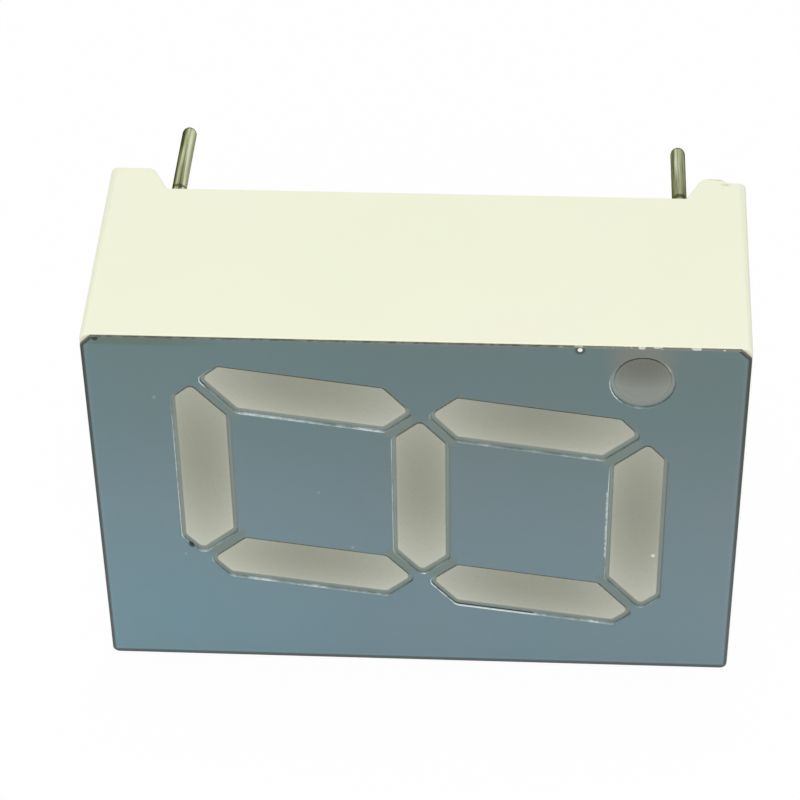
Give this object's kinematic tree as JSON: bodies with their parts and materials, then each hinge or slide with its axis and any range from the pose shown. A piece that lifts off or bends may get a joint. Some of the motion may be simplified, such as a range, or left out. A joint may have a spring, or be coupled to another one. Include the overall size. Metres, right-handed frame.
{
  "type": "seven segment display",
  "caption": "Boxy plastic numeric display with a slanted digit of milky bars and a decimal point behind a grey foil, on feet, with rows of round leads behind.",
  "frame": {"origin": "centre of the lead pattern, in the seating plane where the feet meet a circuit board", "axes": "+X down the digit, towards its foot; +Y out of the back, along the leads; +Z across the digit, towards the decimal point, and up as the display lies on its long side"},
  "size_m": [0.019, 0.0118, 0.0126],
  "materials": {
    "housing": "satin",
    "foil": "matte",
    "window": "milky",
    "board": "satin",
    "copper": "satin",
    "chip": "polished",
    "bond_wire": "bright",
    "solder": "satin",
    "lead": "tinned",
    "potting": "glossy"
  },
  "bodies": {
    "root": {"housing": "housing", "face_foil": "foil", "window_a": "window", "window_b": "window", "window_c": "window", "window_d": "window", "window_e": "window", "window_f": "window", "window_g": "window", "window_point": "window", "circuit_board": "board", "copper_common": "copper", "copper_a": "copper", "copper_b": "copper", "copper_c": "copper", "copper_d": "copper", "copper_e": "copper", "copper_f": "copper", "copper_g": "copper", "copper_point": "copper", "chip_a": "chip", "chip_b": "chip", "chip_c": "chip", "chip_d": "chip", "chip_e": "chip", "chip_f": "chip", "chip_g": "chip", "chip_point": "chip", "wire_a": "bond_wire", "wire_b": "bond_wire", "wire_c": "bond_wire", "wire_d": "bond_wire", "wire_e": "bond_wire", "wire_f": "bond_wire", "wire_g": "bond_wire", "wire_point": "bond_wire", "solder_joints": "solder", "lead_1": "lead", "lead_2": "lead", "lead_3": "lead", "lead_4": "lead", "lead_5": "lead", "lead_6": "lead", "lead_7": "lead", "lead_8": "lead", "lead_9": "lead", "lead_10": "lead", "potting": "potting"}
  },
  "joints": []
}
